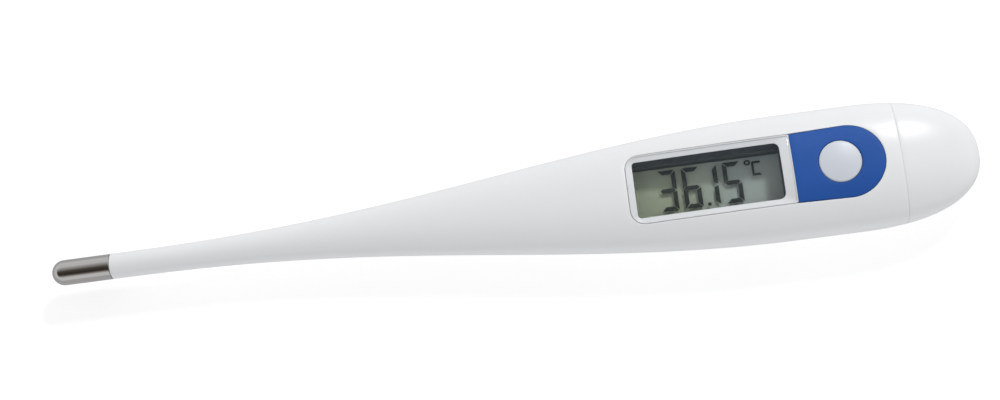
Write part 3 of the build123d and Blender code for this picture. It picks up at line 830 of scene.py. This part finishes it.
def make_cell():
    """Button cell: crimped can, sealing ring and the stepped cap of its other pole."""
    centre = ((CAN_LOW.x + CAN_HIGH.x) / 2, 0, 0)
    radius = CAN_HIGH.y
    top = CAN_HIGH.z
    low = CAN_LOW.z
    can = [
        (top - 0.02, 0.0),
        (top - 0.02, 2.9),
        (top, 3.0),
        (top, radius - 0.35),
        (top - 0.05, radius - 0.16),
        (top - 0.16, radius - 0.05),
        (top - 0.35, radius),
        (low + 0.4, radius),
        (low + 0.2, radius - 0.04),
        (low + 0.06, radius - 0.16),
        (low, radius - 0.34),
        (low, radius - 0.5),
        (low + 0.12, radius - 0.5),
        (low + 0.2, radius - 0.25),
        (top - 0.25, radius - 0.25),
        (top - 0.25, 0.0),
    ]
    cap = ANODE_HIGH.y
    anode = [
        (ANODE_HIGH.z, 0.0),
        (ANODE_HIGH.z, cap),
        (ANODE_LOW.z + 0.25, cap),
        (ANODE_LOW.z + 0.1, cap - 0.05),
        (ANODE_LOW.z + 0.03, cap - 0.15),
        (ANODE_LOW.z, cap - 0.3),
        (ANODE_LOW.z, 1.2),
        (ANODE_LOW.z + 0.03, 1.1),
        (ANODE_LOW.z + 0.03, 0.0),
    ]
    revolve(can, centre, "Z").build("cell_can", "battery", "cell_steel", ["battery_can"])
    revolve(anode, centre, "Z").build("cell_cap", "battery", "cell_steel", ["battery_anode"])


# ---- Pieces in the upper skin ----


def shrink_rows(shell, rays, outline, level, depth, shares):
    """Rows that close in on the outline's spine."""
    rows = []
    for share in shares:
        points = []
        for x, d in rays:
            edge_x, edge_y = outline.edge(x, d, level)
            points.append(skin_top(x + (edge_x - x) * share, edge_y * share, depth))
        rows.append(shell.loop(points))
    return rows


def make_lens():
    shell = Shell()
    rays = LENS.rays(26)
    rim = 0.12
    steps = [(0.0, LENS_DEPTH)] + [(-back, down) for back, down in soft_edge(rim)]
    rows = skin_rows(shell, rays, LENS, steps)
    shares = [0.97, 0.9, 0.78, 0.64, 0.5, 0.36, 0.22, 0.1, 0.0]
    top = shrink_rows(shell, rays, LENS, -rim, 0.0, shares)
    under = shrink_rows(shell, rays, LENS, 0.0, LENS_DEPTH, shares)
    shell.chain(rows + top)
    shell.chain([rows[0]] + under)
    shell.build("lens_pane", "body", "clear_lens", ["window_lens"], sharp=60)


def make_border():
    """White border behind the lens: a thin lip round the lens, then a slope to the window."""
    shell = Shell()
    top, low = LENS_DEPTH + 0.01, LENS_DEPTH + 0.07
    outer = [(0.0, low), (0.0, 0.06), (-LIP, 0.06), (-LIP - 0.03, 0.22)]
    hole = [(0.0, top), (0.0, low)]
    add_frame(shell, WINDOW.rays(26), BORDER, outer, WINDOW, hole)
    shell.build("window_border", "body", "white_print", ["lens_border"])


def make_trim():
    """Coloured trim plate: D-shaped, with a round hole and softly rounded edges."""
    shell = Shell()
    low = LENS_DEPTH + 0.07
    curve = soft_edge(0.08)
    outer = [(0.0, low)] + [(-back, down) for back, down in curve]
    hole = curve[::-1] + [(0.0, low)]
    add_frame(shell, button_rays(TRIM), TRIM, outer, BUTTON_HOLE, hole, (0.2, 0.4, 0.6, 0.8))
    shell.build("trim_plate", "body", "blue_plastic", ["button_trim"])


# ---- Display figures ----

STROKE = 0.6
FIGURE_WIDTH = 2.45
FIGURE_HEIGHT = 5.8
SEGMENT_GAP = 0.09
FIGURES = {"3": 86.5, "6": 89.8, "1": 92.2, "5": 95.45}
LIT = {"3": "abcdg", "6": "acdefg", "1": "bc", "5": "acdfg"}
POINT_STATION = 93.1
POINT_RADIUS = 0.27
LETTER_STATION, LETTER_LEVEL = 99.45, 0.55
LETTER_WIDTH, LETTER_HEIGHT, LETTER_STROKE, LETTER_GAP = 1.35, 3.8, 0.32, 0.02
DEGREE_STATION, DEGREE_LEVEL = 98.9, 2.5
DEGREE_OUTSIDE = (0.45, 0.4)
DEGREE_INSIDE = (0.22, 0.18)
DISPLAY_SHIFT = (-0.06, 0.2)


def segment_shapes(width, height, stroke, gap):
    """The seven bars of a figure, with mitred ends, as corner lists from its lower left corner."""
    half = height / 2
    inner = width - stroke
    return {
        "a": [
            (gap, height),
            (width - gap, height),
            (inner - gap, height - stroke),
            (stroke + gap, height - stroke),
        ],
        "b": [
            (width, height - gap),
            (width, half + gap),
            (inner, half + stroke / 2 + gap),
            (inner, height - stroke - gap),
        ],
        "c": [
            (width, half - gap),
            (width, gap),
            (inner, stroke + gap),
            (inner, half - stroke / 2 - gap),
        ],
        "d": [(gap, 0), (stroke + gap, stroke), (inner - gap, stroke), (width - gap, 0)],
        "e": [(0, half - gap), (stroke, half - stroke / 2 - gap), (stroke, stroke + gap), (0, gap)],
        "f": [
            (0, height - gap),
            (stroke, height - stroke - gap),
            (stroke, half + stroke / 2 + gap),
            (0, half + gap),
        ],
        "g": [
            (gap * 2, half),
            (stroke * 0.6 + gap, half + stroke / 2),
            (inner + stroke * 0.4 - gap, half + stroke / 2),
            (width - gap * 2, half),
            (inner + stroke * 0.4 - gap, half - stroke / 2),
            (stroke * 0.6 + gap, half - stroke / 2),
        ],
    }


def on_display(x, y, z):
    """Point of the display from its station and Y, moved by the shift of all the figures."""
    return Vector((x - LENGTH / 2 + DISPLAY_SHIFT[0], y + DISPLAY_SHIFT[1], z))


def oval(centre, radii, count):
    """Points round an oval in the plane of the display."""
    angles = [2 * pi * k / count for k in range(count)]
    return [(centre[0] + radii[0] * cos(a), centre[1] + radii[1] * sin(a)) for a in angles]


def add_plate(shell, corners, low, high):
    """Thin plate with the given outline."""
    bottom = shell.loop([on_display(x, y, low) for x, y in corners])
    top = shell.loop([on_display(x, y, high) for x, y in corners])
    shell.bridge(bottom, top)
    shell.faces.append(tuple(reversed(bottom)))
    shell.faces.append(tuple(top))


def make_digits():
    shell = Shell()
    low, high = DIGITS_LOW.z, DIGITS_HIGH.z
    base = -FIGURE_HEIGHT / 2
    shapes = segment_shapes(FIGURE_WIDTH, FIGURE_HEIGHT, STROKE, SEGMENT_GAP)
    for figure, left in FIGURES.items():
        for bar in LIT[figure]:
            add_plate(shell, [(left + x, base + y) for x, y in shapes[bar]], low, high)
    middle = (POINT_STATION, base + POINT_RADIUS)
    add_plate(shell, oval(middle, (POINT_RADIUS, POINT_RADIUS), 12), low, high)
    letter = segment_shapes(LETTER_WIDTH, LETTER_HEIGHT, LETTER_STROKE, LETTER_GAP)
    for bar in "gde":
        corners = [(LETTER_STATION + x, LETTER_LEVEL + y) for x, y in letter[bar]]
        add_plate(shell, corners, low, high)
    ring_out = oval((DEGREE_STATION, DEGREE_LEVEL), DEGREE_OUTSIDE, 24)
    ring_in = oval((DEGREE_STATION, DEGREE_LEVEL), DEGREE_INSIDE, 24)
    loops = []
    for ring, z in ((ring_out, low), (ring_out, high), (ring_in, high), (ring_in, low)):
        loops.append(shell.loop([on_display(x, y, z) for x, y in ring]))
    shell.chain(loops + loops[:1])
    shell.build("display_digits", "body", "segment_ink", ["lcd_segments"], sharp=20)


# ---- CAD nodes that stay ----


def dress_cad_nodes():
    """Gives each CAD node that is still shown its material and, where it is a block, softer edges."""
    slots = {row["node"]: row["material_slot"] for row in frame["record"]["subparts"]}
    softened = {
        "circuit_board": 0.08,
        "zebra_strip_left": 0.06,
        "zebra_strip_right": 0.06,
        "chip_resistors": 0.05,
        "chip_capacitors": 0.06,
        "contact_positive": 0.03,
        "contact_negative": 0.03,
        "carrier_tray": 0.08,
        "lcd_front_glass": 0.04,
        "lcd_back_glass": 0.04,
    }
    for node, piece in frame["nodes"].items():
        piece.data.materials.clear()
        piece.data.materials.append(MATERIALS[slots[node]])
        if node in softened:
            bevel = piece.modifiers.new("soft_edges", "BEVEL")
            bevel.width = softened[node] * MM
            bevel.segments = 2
            bevel.limit_method = "ANGLE"
            bevel.angle_limit = radians(50)


# ---- Studio ----


def make_camera():
    camera = bpy.data.objects.new("camera", bpy.data.cameras.new("camera"))
    bpy.context.scene.collection.objects.link(camera)
    camera.data.lens = 61.2
    camera.data.sensor_width = 36.0
    camera.data.clip_start = 0.005
    right = Vector((0.98842, -0.10702, -0.10757))
    up = Vector((0.13112, 0.95918, 0.25057))
    back = right.cross(up)
    turn = Matrix((right, up, back)).transposed()
    camera.matrix_world = Matrix.Translation(Vector((17.48, -59.81, 232.85)) * MM) @ turn.to_4x4()
    bpy.context.scene.camera = camera


def stage_plane(name, size, centre, normal, material):
    mesh = bpy.data.meshes.new(name)
    w, h = size[0] / 2, size[1] / 2
    mesh.from_pydata([(-w, -h, 0), (w, -h, 0), (w, h, 0), (-w, h, 0)], [], [(0, 1, 2, 3)])
    plane = bpy.data.objects.new(name, mesh)
    bpy.context.scene.collection.objects.link(plane)
    plane.location = centre
    plane.rotation_mode = "QUATERNION"
    plane.rotation_quaternion = Vector(normal).to_track_quat("Z", "Y")
    plane.data.materials.append(material)
    return plane


def dark_card(name, size, centre, reach):
    """Dim card that only glossy surfaces see, darkest in its middle and pale along its edges."""
    material, nodes, links, output = new_material(name)
    glow = nodes.new("ShaderNodeEmission")
    place = nodes.new("ShaderNodeNewGeometry")
    parts = nodes.new("ShaderNodeSeparateXYZ")
    across = nodes.new("ShaderNodeMapRange")
    across.inputs["From Min"].default_value = reach[0]
    across.inputs["From Max"].default_value = reach[1]
    ramp = nodes.new("ShaderNodeValToRGB")
    stops = ramp.color_ramp.elements
    stops[0].color = (0.6, 0.6, 0.6, 1)
    stops[1].color = (0.6, 0.6, 0.6, 1)
    for position, tone in ((0.30, 0.10), (0.42, 0.018), (0.64, 0.06)):
        stops.new(position).color = (tone * 1.25, tone, tone * 0.8, 1)
    links.new(place.outputs["Position"], parts.inputs["Vector"])
    links.new(parts.outputs["Y"], across.inputs["Value"])
    links.new(across.outputs["Result"], ramp.inputs["Fac"])
    links.new(ramp.outputs["Color"], glow.inputs["Color"])
    links.new(glow.outputs["Emission"], output.inputs["Surface"])
    card = stage_plane(name, size, centre, (0, 0, -1), material)
    card.visible_camera = False
    card.visible_diffuse = False
    card.visible_shadow = False
    card.visible_transmission = False


def make_studio():
    floor, nodes, links, output = new_material("floor_paint")
    paint = nodes.new("ShaderNodeBsdfPrincipled")
    tone = noise(nodes, links, 40.0)
    links.new(shades(nodes, links, tone, grey(0.44), grey(0.46)), paint.inputs["Base Color"])
    paint.inputs["Roughness"].default_value = 0.9
    paint.inputs["Emission Color"].default_value = (1, 1, 1, 1)
    paint.inputs["Emission Strength"].default_value = 0.68
    links.new(paint.outputs["BSDF"], output.inputs["Surface"])
    ground = stage_plane("floor", (3.0, 3.0), (0, 0, 0), (0, 0, 1), floor)
    ground.visible_glossy = False

    # The metal tip mirrors one dim card and the lens another, as both would mirror the room
    # behind a camera. The cards do nothing else.
    dark_card("tip_card", (0.72, 1.0), (-0.41, -0.16, 0.42), (-0.66, 0.34))
    dark_card("lens_card", (0.72, 1.0), (0.31, -0.35, 0.42), (-0.85, 0.19))

    world = bpy.data.worlds.new("studio")
    bpy.context.scene.world = world
    world.use_nodes = True
    nodes, links = world.node_tree.nodes, world.node_tree.links
    height = nodes.new("ShaderNodeSeparateXYZ")
    ramp = nodes.new("ShaderNodeValToRGB")
    across = nodes.new("ShaderNodeMapRange")
    across.inputs["From Min"].default_value = -1.0
    stops = ramp.color_ramp.elements
    stops[0].color = (0.45, 0.455, 0.46, 1)
    stops[1].color = (0.585, 0.594, 0.60, 1)
    stops.new(0.49).color = (0.45, 0.455, 0.46, 1)
    stops.new(0.52).color = (0.66, 0.668, 0.675, 1)
    place = nodes.new("ShaderNodeTexCoord")
    links.new(place.outputs["Generated"], height.inputs["Vector"])
    links.new(height.outputs["Z"], across.inputs["Value"])
    links.new(across.outputs["Result"], ramp.inputs["Fac"])
    links.new(ramp.outputs["Color"], nodes["Background"].inputs["Color"])

    key = bpy.data.lights.new("key", "AREA")
    key.shape = "DISK"
    key.size = 0.10
    key.energy = 1.45
    lamp = bpy.data.objects.new("key", key)
    bpy.context.scene.collection.objects.link(lamp)
    toward = Vector((0.37, 0.59, 0.72)).normalized()
    lamp.location = Vector((0.02, 0, 0)) + toward * 0.6
    lamp.rotation_mode = "QUATERNION"
    lamp.rotation_quaternion = toward.to_track_quat("Z", "Y")
    bpy.context.scene.view_settings.view_transform = "Standard"
    # Light has to reach the display through every clear layer and back.
    bpy.context.scene.cycles.transparent_max_bounces = 64


make_camera()
make_studio()
make_housing()
make_cover()
make_seal()
make_tip()
make_button()
make_lens()
make_border()
make_trim()
make_digits()
make_cell()
dress_cad_nodes()
